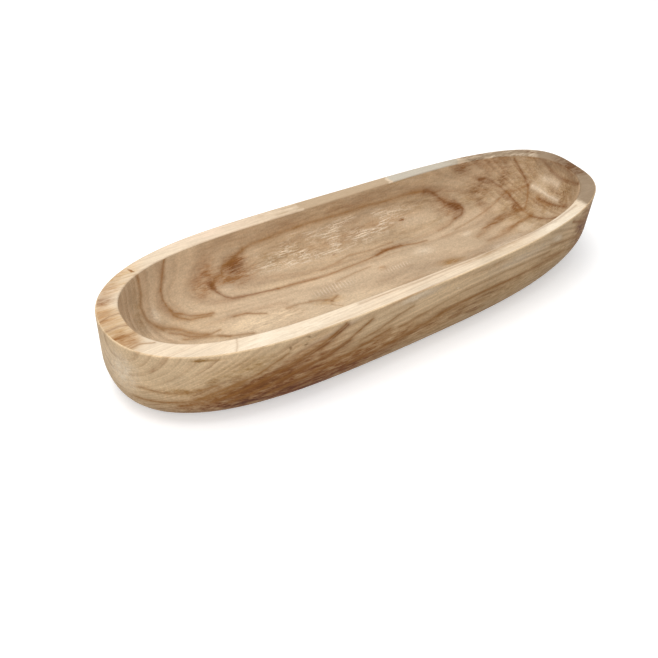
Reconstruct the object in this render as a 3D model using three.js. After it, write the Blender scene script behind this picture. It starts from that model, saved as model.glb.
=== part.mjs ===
// Wooden serving tray: one block of pale wood, shaped outside like a small boat and hollowed
// to a long trough with a flat rim. Millimetres, +X along the tray, +Z up, and the origin on
// the ground under the middle of the tray. Its left end is at -X and its front at -Y.
import * as THREE from 'three';

// Outside sizes
const length = 500;
const width = 157;
const height = 75;

// Flat rim: how wide it is at each end and along each side
const rimLeft = 19;
const rimRight = 11.5;
const rimFront = 15;
const rimBack = 12;

// Hollow: how deep its middle is below the rim, how far its floor dips there, and how far
// its curved wall reaches in before it meets the floor
const depth = 58;
const floorDip = 4;
const endCove = 66;
const sideCove = 40;
const coveFullness = 2.6;

// Hull: how high its rounded bilge rises, and how far the bilge draws the base in
const bilgeRise = 35;
const bilgeLeft = 19;
const bilgeRight = 57;
const bilgeSide = 20;

// Sharp edges are eased by hand with a small round
const outerEase = 1.2;
const innerEase = 1.6;

// Plan shape: each end of an outline has two powers. A larger `along` keeps the side straight
// for longer, and a larger `across` makes the end blunter.
const hullLeftEnd = { along: 3.75, across: 2.17 };
const hullRightEnd = { along: 3.1, across: 3 };
const hollowLeftEnd = { along: 4.6, across: 2.35 };
const hollowRightEnd = { along: 3.7, across: 2.2 };

// The block isn't quite true: its sides draw together towards the right end by this share of
// the width, and both ends stand this far behind the middle
const sideTaper = 0.06;
const bow = 5;

// Fineness of the facets
const pointsRound = 96;
const bilgeSteps = 9;
const easeSteps = 3;
const coveSteps = 14;
const dipSteps = 5;

const quarterTurn = Math.PI / 2;

const hull = {
  halfLength: length / 2,
  halfWidth: width / 2,
  centreX: 0,
  centreY: 0,
  taper: sideTaper,
  left: hullLeftEnd,
  right: hullRightEnd,
};

const hollow = {
  halfLength: (length - rimLeft - rimRight) / 2,
  halfWidth: (width - rimFront - rimBack) / 2,
  centreX: (rimLeft - rimRight) / 2,
  centreY: (rimFront - rimBack) / 2,
  taper: 0,
  left: hollowLeftEnd,
  right: hollowRightEnd,
};

// One level ring of the tray: an outline drawn in by its insets, shrunk about its centre by
// `scale` and lifted to height z
function ring(outline, z, insets, scale = 1) {
  const points = [];
  for (let i = 0; i < pointsRound; i += 1) {
    const angle = (2 * Math.PI * i) / pointsRound;
    const c = Math.cos(angle);
    const s = Math.sin(angle);
    const end = c < 0 ? outline.left : outline.right;
    const endInset = c < 0 ? insets.left : insets.right;
    const along = Math.sign(c) * Math.abs(c) ** (2 / end.along);
    const across = Math.sign(s) * Math.abs(s) ** (2 / end.across);
    const x = outline.centreX + scale * (outline.halfLength - endInset) * along;
    const reach = x / (length / 2);
    const halfWidth = (outline.halfWidth - insets.side) * (1 - outline.taper * reach);
    const y = outline.centreY + scale * halfWidth * across + bow * reach ** 2;
    points.push(new THREE.Vector3(x, y, z));
  }
  return points;
}

function sameInset(distance) {
  return { left: distance, right: distance, side: distance };
}

// Outside, from the edge of the flat base up the bilge and the upright wall
function hullRings() {
  const rings = [];
  for (let i = 0; i <= bilgeSteps; i += 1) {
    const turn = (quarterTurn * i) / bilgeSteps;
    const drawn = 1 - Math.sin(turn);
    const insets = { left: bilgeLeft * drawn, right: bilgeRight * drawn, side: bilgeSide * drawn };
    rings.push(ring(hull, bilgeRise * (1 - Math.cos(turn)), insets));
  }
  for (let i = 0; i <= easeSteps; i += 1) {
    const turn = (quarterTurn * i) / easeSteps;
    const z = height - outerEase * (1 - Math.sin(turn));
    rings.push(ring(hull, z, sameInset(outerEase * (1 - Math.cos(turn)))));
  }
  return rings;
}

// Inside, from the rim's inner edge down the curved wall to the floor and its dip
function hollowRings() {
  const rings = [];
  for (let i = 0; i < easeSteps; i += 1) {
    const turn = (quarterTurn * i) / easeSteps;
    const z = height - innerEase * (1 - Math.cos(turn));
    rings.push(ring(hollow, z, sameInset(-innerEase * (1 - Math.sin(turn)))));
  }
  const coveTop = height - innerEase;
  const coveDrop = depth - floorDip - innerEase;
  for (let i = 0; i <= coveSteps; i += 1) {
    const turn = (quarterTurn * i) / coveSteps;
    const drawn = 1 - Math.cos(turn) ** (2 / coveFullness);
    const z = coveTop - coveDrop * Math.sin(turn) ** (2 / coveFullness);
    rings.push(ring(hollow, z, { left: endCove * drawn, right: endCove * drawn, side: sideCove * drawn }));
  }
  const floorEdge = { left: endCove, right: endCove, side: sideCove };
  for (let i = 1; i < dipSteps; i += 1) {
    const scale = 1 - i / dipSteps;
    rings.push(ring(hollow, floorHeight(scale), floorEdge, scale));
  }
  return rings;
}

// The floor dips smoothly from its edge, at scale 1, to its middle, at scale 0
function floorHeight(scale) {
  return height - depth + floorDip * (1 - (1 - scale ** 2) ** 2);
}

// Skin over the rings in order, closed by a point in the middle of the base and of the floor
function skin(rings, first, last) {
  const points = [first, ...rings.flat(), last];
  const corners = [];
  const at = (row, i) => 1 + row * pointsRound + (i % pointsRound);
  for (let i = 0; i < pointsRound; i += 1) {
    corners.push(0, at(0, i + 1), at(0, i));
    for (let row = 0; row + 1 < rings.length; row += 1) {
      const [a, b] = [at(row, i), at(row, i + 1)];
      const [c, d] = [at(row + 1, i + 1), at(row + 1, i)];
      corners.push(a, b, c, a, c, d);
    }
    corners.push(points.length - 1, at(rings.length - 1, i), at(rings.length - 1, i + 1));
  }
  const geometry = new THREE.BufferGeometry().setFromPoints(points);
  geometry.setIndex(corners);
  return geometry;
}

function trayGeometry() {
  const baseMiddle = new THREE.Vector3(0, 0, 0);
  const floorMiddle = new THREE.Vector3(hollow.centreX, hollow.centreY, floorHeight(0));
  const geometry = skin([...hullRings(), ...hollowRings()], baseMiddle, floorMiddle);
  geometry.computeBoundingBox();
  const middle = geometry.boundingBox.getCenter(new THREE.Vector3());
  geometry.translate(-middle.x, -middle.y, 0);
  geometry.computeVertexNormals();
  return geometry;
}

const paleWood = new THREE.MeshStandardMaterial({ color: '#c9ac86', roughness: 0.72, metalness: 0 });

const tray = new THREE.Mesh(trayGeometry(), paleWood);
tray.name = 'tray';

const servingTray = new THREE.Group();
servingTray.add(tray);

export default servingTray;
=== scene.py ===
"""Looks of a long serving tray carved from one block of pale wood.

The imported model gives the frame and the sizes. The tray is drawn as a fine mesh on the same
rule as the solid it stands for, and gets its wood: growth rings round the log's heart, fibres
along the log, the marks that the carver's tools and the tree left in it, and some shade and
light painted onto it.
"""

import math

import bpy
from mathutils import Matrix, Vector


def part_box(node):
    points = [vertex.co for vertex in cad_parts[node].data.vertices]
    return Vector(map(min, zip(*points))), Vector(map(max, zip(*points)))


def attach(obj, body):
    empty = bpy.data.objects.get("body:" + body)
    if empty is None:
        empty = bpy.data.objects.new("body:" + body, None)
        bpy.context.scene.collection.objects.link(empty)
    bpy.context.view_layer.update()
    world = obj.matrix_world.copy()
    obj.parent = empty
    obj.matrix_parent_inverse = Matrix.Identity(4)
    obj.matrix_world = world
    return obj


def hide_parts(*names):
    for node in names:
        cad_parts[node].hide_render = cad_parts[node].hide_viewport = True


bl_info = {
    "name": "Carved Serving Tray",
    "version": (1, 0, 0),
    "blender": (4, 5, 0),
    "location": "3D View > Sidebar > Tray",
    "description": "Draws a carved wooden serving tray and a plain studio round it",
    "category": "Object",
}

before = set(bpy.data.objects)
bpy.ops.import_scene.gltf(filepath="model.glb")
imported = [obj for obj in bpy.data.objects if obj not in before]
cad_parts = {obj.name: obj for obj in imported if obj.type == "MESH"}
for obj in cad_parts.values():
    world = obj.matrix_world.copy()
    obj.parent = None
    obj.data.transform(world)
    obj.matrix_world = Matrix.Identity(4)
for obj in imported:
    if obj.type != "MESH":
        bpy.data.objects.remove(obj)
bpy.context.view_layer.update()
LOW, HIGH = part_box("tray")

MM = 0.001
BODY = "root"
NODE = "tray"

# Kinds of sockets and nodes that come often
FLOAT = "NodeSocketFloat"
VECTOR = "NodeSocketVector"
MATH = "ShaderNodeMath"
VECTOR_MATH = "ShaderNodeVectorMath"
MIX = "ShaderNodeMix"
MAP_RANGE = "ShaderNodeMapRange"
NOISE = "ShaderNodeTexNoise"
SEPARATE = "ShaderNodeSeparateXYZ"
COMBINE = "ShaderNodeCombineXYZ"
MAPPING = "ShaderNodeMapping"
GROUP = "ShaderNodeGroup"


def linear(colour):
    """Turns an sRGB hex colour such as "#d8b48a" to linear red, green, blue and alpha."""
    parts = [int(colour[i : i + 2], 16) / 255 for i in (1, 3, 5)]
    return (*[c / 12.92 if c <= 0.04045 else ((c + 0.055) / 1.055) ** 2.4 for c in parts], 1)


def add(tree, kind, *values, **named):
    """Adds one node and returns it. Values go to its inputs in order and None leaves one alone.
    A word before them is the operation, a capitalised name is an input, with _ for a space, and
    any other name is a setting."""
    node = tree.nodes.new(kind)
    if values and isinstance(values[0], str):
        node.operation, *values = values
    for name, value in named.items():
        if not name[0].isupper():
            setattr(node, name, value)
    sockets = [socket for socket in node.inputs if socket.enabled]
    by_name = {socket.name: socket for socket in reversed(sockets)}
    wanted = list(zip(sockets, values))
    wanted += [(by_name[n.replace("_", " ")], v) for n, v in named.items() if n[0].isupper()]
    for socket, value in wanted:
        if isinstance(value, bpy.types.Node):
            value = next(output for output in value.outputs if output.enabled)
        if isinstance(value, bpy.types.NodeSocket):
            tree.links.new(value, socket)
        elif value is not None:
            socket.default_value = value
    return node


def emptied(owner):
    """Node tree of a material or a world, with nothing in it."""
    owner.use_nodes = True
    owner.node_tree.nodes.clear()
    return owner.node_tree


def new_group(name, kind, inputs, outputs):
    """Starts a node group. Inputs hold a name, a socket type and a default, and outputs a name
    and a socket type."""
    tree = bpy.data.node_groups.new(name, kind)
    for label, socket_type, default in inputs:
        socket = tree.interface.new_socket(name=label, in_out="INPUT", socket_type=socket_type)
        if default is not None:
            socket.default_value = default
    for label, socket_type in outputs:
        tree.interface.new_socket(name=label, in_out="OUTPUT", socket_type=socket_type)
    return tree, tree.nodes.new("NodeGroupInput").outputs, tree.nodes.new("NodeGroupOutput")


# Sizes and colours that a user would change


def size_setting(name, description, default, least):
    """Length in metres."""
    return bpy.props.FloatProperty(
        name=name, description=description, default=default, min=least, unit="LENGTH"
    )


def colour_setting(name, description, colour):
    """Colour, given as an sRGB hex value."""
    return bpy.props.FloatVectorProperty(
        name=name, description=description, default=linear(colour), size=4, min=0, max=1,
        subtype="COLOR",
    )


class TrayShape(bpy.types.PropertyGroup):
    """Sizes of the carved block, the same as the solid's."""

    length: size_setting("Length", "Overall length of the tray", HIGH.x - LOW.x, 0.1)
    width: size_setting("Width", "Width of the block before its ends are set back", 0.157, 0.05)
    height: size_setting("Height", "Height of the flat rim above the table", HIGH.z - LOW.z, 0.03)
    rim_left: size_setting("Left Rim", "Width of the rim at the left end", 0.019, 0.003)
    rim_right: size_setting("Right Rim", "Width of the rim at the right end", 0.0115, 0.003)
    rim_front: size_setting("Front Rim", "Width of the rim along the front", 0.015, 0.003)
    rim_back: size_setting("Back Rim", "Width of the rim along the back", 0.012, 0.003)
    depth: size_setting("Depth", "Depth of the hollow in its middle", 0.058, 0.01)
    floor_dip: size_setting(
        "Floor Dip", "How far the floor of the hollow dips from its edge to its middle", 0.004, 0
    )
    end_cove: size_setting(
        "End Cove", "How far the curved wall reaches in at the ends", 0.066, 0.005
    )
    side_cove: size_setting(
        "Side Cove", "How far the curved wall reaches in at the sides", 0.040, 0.005
    )
    tool_relief: size_setting(
        "Tool Relief", "Depth of the hollows that the carving tools left inside", 0.0003, 0
    )


class TrayWood(bpy.types.PropertyGroup):
    """Colours of the bare wood."""

    rim: colour_setting("Rim", "Pale sanded wood of the rim", "#e2ceb3")
    hollow: colour_setting("Hollow", "Tan wood of the hollow's walls and floor", "#cab294")
    outside: colour_setting("Outside", "Wood of the outer walls and the base", "#d8bd98")
    late_wood: colour_setting("Late Wood", "Brown line that ends a year's growth", "#875628")


class TrayStudio(bpy.types.PropertyGroup):
    """Camera and lamps of the plain studio."""

    azimuth: bpy.props.FloatProperty(
        name="Azimuth",
        description="Turn of the camera round the tray, from the front towards the right",
        default=math.radians(-35.923),
        subtype="ANGLE",
    )
    elevation: bpy.props.FloatProperty(
        name="Elevation",
        description="Height of the camera above the horizon",
        default=math.radians(42.103),
        subtype="ANGLE",
    )
    roll: bpy.props.FloatProperty(
        name="Roll",
        description="Tilt of the camera round its line of sight",
        default=math.radians(4.457),
        subtype="ANGLE",
    )
    distance: size_setting(
        "Distance", "From the camera to the point that it looks at", 0.62718, 0.1
    )
    focal_length: bpy.props.FloatProperty(
        name="Focal Length",
        description="Focal length of the lens in millimetres, on a sensor 36 mm wide",
        default=44.79,
    )
    target: bpy.props.FloatVectorProperty(
        name="Target",
        description="Point that the middle of the picture looks at",
        subtype="TRANSLATION",
        default=(-0.099668, -0.076774, 0.071),
    )
    key_power: bpy.props.FloatProperty(
        name="Key Lamp",
        description="Power of the large soft lamp overhead",
        default=6.6,
        unit="POWER",
    )
    fill_power: bpy.props.FloatProperty(
        name="Fill Lamp",
        description="Power of the soft lamp in front",
        default=9.5,
        unit="POWER",
    )


# Shape of the tray. Its outlines, profiles and strips follow the rule of the solid, with the
# lengths and powers of its source, and only the fineness and the tool marks differ.

# Plan shape: a larger power along keeps the side straight for longer, and a larger power
# across makes the end blunter
OUTLINE_POWERS = ("Left Along", "Left Across", "Right Along", "Right Across")
HULL_LEFT = (3.75, 2.17)
HULL_RIGHT = (3.1, 3.0)
HOLLOW_LEFT = (4.6, 2.35)
HOLLOW_RIGHT = (3.7, 2.2)
COVE_FULLNESS = 2.6

# The block isn't quite true: its sides draw together to the right by this share of the width,
# and its ends are set this far back
SIDE_TAPER = 0.06
BOW = 5 * MM

BILGE_RISE = 35 * MM
BILGE_LEFT = 19 * MM
BILGE_RIGHT = 57 * MM
BILGE_SIDE = 20 * MM
OUTER_EASE = 1.2 * MM
INNER_EASE = 1.6 * MM

# Fineness of the mesh: columns all round, and rows in each strip from the base to the floor
COLUMNS = 560
BASE_ROWS = 8
BILGE_ROWS = 16
WALL_ROWS = 16
EASE_ROWS = 4
RIM_ROWS = 8
COVE_ROWS = 40
FLOOR_ROWS = 60
SEAM = 0.01 * MM

# Slow unevenness of the block, and the gouge's scoops: how wide they are, how far the scoops'
# noise is squeezed along the tray, which draws them out, and how much more the slow part cuts
SLOW_WIDTH = 70 * MM
SCOOP_WIDTH = 9 * MM
SCOOP_STRETCH = (0.3, 1, 1)
SLOW_SHARE = 1.3
# The base stays flat up to the first height and is worked fully from the second, and the scoops
# stop this far below the rim
WORKED_FROM = (0.5 * MM, 8 * MM)
SCOOPS_STOP = 4 * MM

# Each face of the mesh carries one number that says which side of the tray it is on
SIDE_ATTRIBUTE = "tray_side"
OUTSIDE = 0
RIM = 1
HOLLOW = 2


def outline_group():
    """Point of a tray outline at one turn from 0 to 1, drawn in by its insets and lifted."""
    names = (
        "Turn", "Lift", "Scale", "Inset Left", "Inset Right", "Inset Side", "Half Length",
        "Half Width", "Centre X", "Centre Y", "Half Block", "Taper", *OUTLINE_POWERS,
    )
    inputs = [(name, FLOAT, 0) for name in names]
    tree, given, result = new_group(
        "Tray Outline", "GeometryNodeTree", inputs, [("Point", VECTOR)]
    )
    angle = add(tree, MATH, "MULTIPLY", given["Turn"], math.tau)
    to_right = add(tree, MATH, "SIGN", add(tree, MATH, "COSINE", angle))
    to_back = add(tree, MATH, "SIGN", add(tree, MATH, "SINE", angle))
    on_left = add(tree, MATH, "LESS_THAN", to_right, 0)
    along = add(tree, MIX, on_left, given["Right Along"], given["Left Along"])
    across = add(tree, MIX, on_left, given["Right Across"], given["Left Across"])
    inset = add(tree, MIX, on_left, given["Inset Right"], given["Inset Left"])
    along = add(tree, MATH, "DIVIDE", 2, along)
    across = add(tree, MATH, "DIVIDE", 2, across)

    # From the end of the tray, at 0, to the middle of its side, at 1, in even steps of length
    from_end = add(tree, MATH, "PINGPONG", add(tree, MATH, "MULTIPLY", given["Turn"], 4), 1)
    from_side = add(tree, MATH, "SUBTRACT", 1, from_end)
    near_end = add(tree, MATH, "POWER", from_end, add(tree, MATH, "DIVIDE", 1, across))
    near_side = add(tree, MATH, "POWER", from_side, add(tree, MATH, "DIVIDE", 1, along))
    both = add(tree, MATH, "ADD", near_end, near_side)
    share = add(tree, MATH, "DIVIDE", near_end, both)
    slope = add(tree, MATH, "MULTIPLY", share, math.pi / 2)
    cosine = add(tree, MATH, "MAXIMUM", add(tree, MATH, "COSINE", slope), 0)
    sine = add(tree, MATH, "MAXIMUM", add(tree, MATH, "SINE", slope), 0)
    reach_x = add(tree, MATH, "MULTIPLY", add(tree, MATH, "POWER", cosine, along), to_right)
    reach_y = add(tree, MATH, "MULTIPLY", add(tree, MATH, "POWER", sine, across), to_back)

    half_length = add(tree, MATH, "SUBTRACT", given["Half Length"], inset)
    half_length = add(tree, MATH, "MULTIPLY", half_length, given["Scale"])
    x = add(tree, MATH, "MULTIPLY_ADD", half_length, reach_x, given["Centre X"])
    from_middle = add(tree, MATH, "DIVIDE", x, given["Half Block"])
    narrowing = add(tree, MATH, "MULTIPLY", from_middle, given["Taper"])
    narrowing = add(tree, MATH, "SUBTRACT", 1, narrowing)
    half_width = add(tree, MATH, "SUBTRACT", given["Half Width"], given["Inset Side"])
    half_width = add(tree, MATH, "MULTIPLY", half_width, narrowing)
    half_width = add(tree, MATH, "MULTIPLY", half_width, given["Scale"])
    y = add(tree, MATH, "MULTIPLY_ADD", half_width, reach_y, given["Centre Y"])
    set_back = add(tree, MATH, "MULTIPLY", from_middle, from_middle)
    y = add(tree, MATH, "MULTIPLY_ADD", set_back, BOW, y)
    point = add(tree, COMBINE, x, y, given["Lift"])
    tree.links.new(point.outputs[0], result.inputs[0])
    return tree


def quarter_group():
    """Cosine and sine over a quarter turn, each to the power of 2 over the fullness, so that a
    fullness of 2 gives a round profile and more gives a squarer one."""
    tree, given, result = new_group(
        "Quarter Turn",
        "GeometryNodeTree",
        [("Share", FLOAT, 0), ("Fullness", FLOAT, 2)],
        [("Cosine", FLOAT), ("Sine", FLOAT)],
    )
    angle = add(tree, MATH, "MULTIPLY", given["Share"], math.pi / 2)
    power = add(tree, MATH, "DIVIDE", 2, given["Fullness"])
    for name, operation in (("Cosine", "COSINE"), ("Sine", "SINE")):
        wave = add(tree, MATH, "MAXIMUM", add(tree, MATH, operation, angle), 0)
        wave = add(tree, MATH, "POWER", wave, power)
        tree.links.new(wave.outputs[0], result.inputs[name])
    return tree


def tray_tree(material):
    """The whole tray as strips of mesh that each follow one rule, from the base up the hull,
    over the rim and down into the hollow, joined along their edges."""
    inputs = [("Geometry", "NodeSocketGeometry", None), ("Seed", FLOAT, 3.0)]
    for key in TrayShape.__annotations__:
        default = getattr(bpy.context.scene.tray_shape, key)
        inputs.append((key.replace("_", " ").title(), FLOAT, default))
    tree, given, result = new_group(
        "Carved Trough", "GeometryNodeTree", inputs, [("Geometry", "NodeSocketGeometry")]
    )
    outline = outline_group()
    quarter = quarter_group()
    position = add(tree, "GeometryNodeInputPosition")
    parts = add(tree, SEPARATE, position)
    turn = add(tree, MATH, "ADD", parts.outputs["X"], 0.5)
    share = add(tree, MATH, "ADD", parts.outputs["Y"], 0.5)

    half_block = add(tree, MATH, "MULTIPLY", given["Length"], 0.5)
    hull = {
        "Half_Length": half_block,
        "Half_Width": add(tree, MATH, "MULTIPLY", given["Width"], 0.5),
        "Half_Block": half_block,
        "Taper": SIDE_TAPER,
    }
    hull.update(zip(OUTLINE_POWERS, HULL_LEFT + HULL_RIGHT))
    hollow = {"Half_Block": half_block}
    hollow.update(zip(OUTLINE_POWERS, HOLLOW_LEFT + HOLLOW_RIGHT))
    for size, centre, whole, low, high in (
        ("Half_Length", "Centre_X", "Length", "Rim Left", "Rim Right"),
        ("Half_Width", "Centre_Y", "Width", "Rim Front", "Rim Back"),
    ):
        both = add(tree, MATH, "ADD", given[low], given[high])
        inner = add(tree, MATH, "SUBTRACT", given[whole], both)
        hollow[size] = add(tree, MATH, "MULTIPLY", inner, 0.5)
        lopsided = add(tree, MATH, "SUBTRACT", given[low], given[high])
        hollow[centre] = add(tree, MATH, "MULTIPLY", lopsided, 0.5)

    joined = add(tree, "GeometryNodeJoinGeometry")

    def ring(of, lift, insets=(0, 0, 0), scale=1):
        """Point on an outline at this strip's turn."""
        left, right, side = insets
        return add(tree, "GeometryNodeGroup", node_tree=outline, Turn=turn, Lift=lift,
                   Scale=scale, Inset_Left=left, Inset_Right=right, Inset_Side=side, **of)

    def turned(fullness):
        """Cosine and sine of this strip's quarter turn."""
        node = add(tree, "GeometryNodeGroup", node_tree=quarter, Share=share, Fullness=fullness)
        return node.outputs["Cosine"], node.outputs["Sine"]

    def scaled(value, *factors):
        """One product for each factor."""
        return [add(tree, MATH, "MULTIPLY", value, factor) for factor in factors]

    def strip(rows, point, side=OUTSIDE):
        """A sheet of mesh with all its points moved to where the rule puts them."""
        sheet = add(tree, "GeometryNodeMeshGrid", 1, 1, COLUMNS + 1, rows + 1)
        moved = add(tree, "GeometryNodeSetPosition", sheet, None, point)
        marked = add(tree, "GeometryNodeStoreNamedAttribute", moved, domain="FACE",
                     data_type="FLOAT", Name=SIDE_ATTRIBUTE, Value=side)
        tree.links.new(marked.outputs[0], joined.inputs[0])

    # Base, from its middle to the edge of the bilge
    strip(BASE_ROWS, ring(hull, 0, (BILGE_LEFT, BILGE_RIGHT, BILGE_SIDE), share))

    # Bilge, a round quarter turn
    cosine, sine = turned(2)
    drawn = add(tree, MATH, "SUBTRACT", 1, sine)
    risen = add(tree, MATH, "SUBTRACT", 1, cosine)
    lift = add(tree, MATH, "MULTIPLY", risen, BILGE_RISE)
    strip(BILGE_ROWS, ring(hull, lift, scaled(drawn, BILGE_LEFT, BILGE_RIGHT, BILGE_SIDE)))

    # Upright wall and the eased outer edge of the rim
    wall_top = add(tree, MATH, "SUBTRACT", given["Height"], OUTER_EASE)
    lift = add(tree, MIX, share, BILGE_RISE, wall_top)
    strip(WALL_ROWS, ring(hull, lift))
    inset = add(tree, MATH, "MULTIPLY", risen, OUTER_EASE)
    lift = add(tree, MATH, "MULTIPLY_ADD", sine, OUTER_EASE, wall_top)
    strip(EASE_ROWS, ring(hull, lift, [inset] * 3))

    # Flat rim and its eased inner edge
    outer = ring(hull, given["Height"], [OUTER_EASE] * 3)
    inner = ring(hollow, given["Height"], [-INNER_EASE] * 3)
    strip(RIM_ROWS, add(tree, MIX, share, outer, inner, data_type="VECTOR"), RIM)
    inset = add(tree, MATH, "MULTIPLY", drawn, -INNER_EASE)
    lift = add(tree, MATH, "MULTIPLY_ADD", risen, -INNER_EASE, given["Height"])
    strip(EASE_ROWS, ring(hollow, lift, [inset] * 3), RIM)

    # Curved wall of the hollow
    cosine, sine = turned(COVE_FULLNESS)
    drawn = add(tree, MATH, "SUBTRACT", 1, cosine)
    cove_top = add(tree, MATH, "SUBTRACT", given["Height"], INNER_EASE)
    floor_edge = add(tree, MATH, "SUBTRACT", given["Height"], given["Depth"])
    floor_edge = add(tree, MATH, "ADD", floor_edge, given["Floor Dip"])
    lift = add(tree, MIX, sine, cove_top, floor_edge)
    reach = scaled(drawn, given["End Cove"], given["End Cove"], given["Side Cove"])
    strip(COVE_ROWS, ring(hollow, lift, reach), HOLLOW)

    # Floor, which dips to its middle
    scale = add(tree, MATH, "SUBTRACT", 1, share)
    fallen = add(tree, MATH, "MULTIPLY", scale, scale)
    fallen = add(tree, MATH, "SUBTRACT", 1, fallen)
    fallen = add(tree, MATH, "MULTIPLY", fallen, fallen)
    fallen = add(tree, MATH, "MULTIPLY", fallen, given["Floor Dip"])
    lift = add(tree, MATH, "SUBTRACT", floor_edge, fallen)
    reach = (given["End Cove"], given["End Cove"], given["Side Cove"])
    strip(FLOOR_ROWS, ring(hollow, lift, reach, scale), HOLLOW)

    whole = add(tree, "GeometryNodeMergeByDistance", joined, Distance=SEAM)
    whole = centred(tree, whole)
    whole = add(tree, "GeometryNodeSetShadeSmooth", whole)
    whole = hand_worked(tree, whole, given)
    whole = add(tree, "GeometryNodeRealizeInstances", whole)
    whole = add(tree, "GeometryNodeSetMaterial", whole, Material=material)
    tree.links.new(whole.outputs[0], result.inputs[0])
    return tree


def centred(tree, geometry):
    """Moves the tray so that the middle of its box stands over the origin, as the solid does."""
    box = add(tree, "GeometryNodeBoundBox", geometry)
    both = add(tree, VECTOR_MATH, "ADD", box.outputs["Min"], box.outputs["Max"])
    away = add(tree, VECTOR_MATH, "MULTIPLY", both, (-0.5, -0.5, 0))
    return add(tree, "GeometryNodeSetPosition", geometry, Offset=away)


def hand_worked(tree, geometry, given):
    """Takes a little wood off everywhere but the base, so that nothing stands proud of the
    block: slow unevenness all over, and the longer scoops of a gouge inside the hollow."""
    position = add(tree, "GeometryNodeInputPosition")
    normal = add(tree, "GeometryNodeInputNormal")
    lift = add(tree, SEPARATE, position).outputs["Z"]
    above_base = add(tree, MAP_RANGE, lift, *WORKED_FROM, 0, 1, interpolation_type="SMOOTHSTEP")
    seeded = add(tree, COMBINE, given["Seed"], given["Seed"], given["Seed"])
    place = add(tree, VECTOR_MATH, "ADD", position, seeded)
    slow = add(tree, NOISE, place, Scale=1 / SLOW_WIDTH, Detail=1.0)
    stretched = add(tree, VECTOR_MATH, "MULTIPLY", place, SCOOP_STRETCH)
    scoops = add(tree, NOISE, stretched, Scale=1 / SCOOP_WIDTH, Detail=0.5)
    faces_up = add(tree, SEPARATE, normal).outputs["Z"]
    below_rim = add(tree, MATH, "SUBTRACT", given["Height"], SCOOPS_STOP)
    below_rim = add(tree, MATH, "LESS_THAN", lift, below_rim)
    hollowed = add(tree, MAP_RANGE, faces_up, 0.05, 0.4, 0, 1)
    hollowed = add(tree, MATH, "MULTIPLY", hollowed, below_rim)
    scooped = add(tree, MATH, "MULTIPLY", scoops, hollowed)
    removed = add(tree, MATH, "MULTIPLY_ADD", slow, SLOW_SHARE, scooped)
    for factor in (given["Tool Relief"], above_base, -1):
        removed = add(tree, MATH, "MULTIPLY", removed, factor)
    offset = add(tree, VECTOR_MATH, "SCALE", normal, Scale=removed)
    return add(tree, "GeometryNodeSetPosition", geometry, Offset=offset)


def plain_mesh(name, tree):
    """Runs the tree on an empty mesh and returns the result as a plain mesh object."""
    start = bpy.data.objects.new(name + "_rule", bpy.data.meshes.new(name + "_rule"))
    bpy.context.scene.collection.objects.link(start)
    start.modifiers.new("Carve", "NODES").node_group = tree
    evaluated = start.evaluated_get(bpy.context.evaluated_depsgraph_get())
    mesh = bpy.data.meshes.new_from_object(evaluated)
    mesh.name = name
    piece = bpy.data.objects.new(name, mesh)
    bpy.context.scene.collection.objects.link(piece)
    bpy.data.objects.remove(start)
    return piece


# Wood

# The heart of the log runs above the hollow, a little to the front. Its place across the tray
# and above the table, in millimetres, is a curve along the tray: a + b X + c X X, where X is
# counted in hundreds of millimetres.
HEART_Y = (-8.19, 4.97, 0.21)
HEART_Z = (85.5, 3.38, -0.55)

# The log grew unevenly, so its rings aren't quite round: how much they stand off to one side,
# how far they are drawn out sideways and how far they lean, each as a + b X
OFF_CENTRE = (-0.021, 0.031)
DRAWN_OUT = (-0.029, 0.015)
LEANING = 0.142

# Each year's growth ends in a brown line. From the heart outwards: where the line is, how far
# before it the wood darkens, both in millimetres, and how dark the line gets, from 0 to 1.
YEARS = (
    (15.5, 4, 0.7),
    (23, 2.5, 0.45),
    (31.5, 5, 0.7),
    (37, 2, 0.3),
    (44.5, 4, 0.4),
    (50.3, 2.5, 0.6),
    (53.2, 1.5, 0.45),
    (56.3, 2, 0.35),
    (58.9, 1.6, 0.6),
    (61.5, 2, 0.4),
    (65.5, 2.4, 0.75),
    (67.8, 1.2, 0.25),
    (71.4, 2, 0.8),
    (74.4, 2, 0.4),
    (77.2, 1.5, 0.35),
    (79.1, 1.5, 0.6),
    (82.2, 2, 0.5),
    (86.2, 2.5, 0.45),
    (89.8, 2, 0.65),
    (93.4, 2, 0.55),
    (96.2, 1.8, 0.6),
    (98.6, 1.5, 0.4),
    (101.5, 2, 0.55),
    (105, 2, 0.45),
    (108.5, 2, 0.55),
    (112, 2, 0.4),
    (116, 2.5, 0.5),
    (120, 2.5, 0.45),
    (124, 2.5, 0.5),
)
LINE_FADE = 0.5
YEARS_TO_A_RAMP = 9
RAMP_REACH = 140

# Places on the floor where the tool chattered: along, across, half length and half width
CHATTER = ((-30, 15, 34, 6), (40, 12.5, 24, 4))
CHATTER_PITCH = 3.3
# The wave texture has one stripe in this many units at scale 1
CHATTER_WAVE = math.pi / 10

# Marks in the wood. Each is an oval: its colour, where its middle is, along and across the tray
# or on the outside along and up, its half length and half width in millimetres, and how strong
# it is. Then follow its turn in degrees, unless it is 0, and how much of it is soft edge, unless
# it is all. A stain darkens the wood by its colour, and a cover hides it with its own: pale
# places, and the tan, silver and umber stretches of the rim. Some stains paint shade instead,
# and two covers on the hollow's floor paint light, as said where they stand.
BROWN = "#b38d60"
RUST = "#cba77e"
HONEY = "#dfc79c"
OLIVE = "#c2ad84"
SHADE = "#d8ccb8"
GREY = "#bdb3a6"
PALE = "#ecdcc4"
CREAM = "#ead2b0"
BLUSH = "#efd6bd"
TAN = "#b49b7d"
SILVER = "#beb4a3"
UMBER = "#968067"

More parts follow.
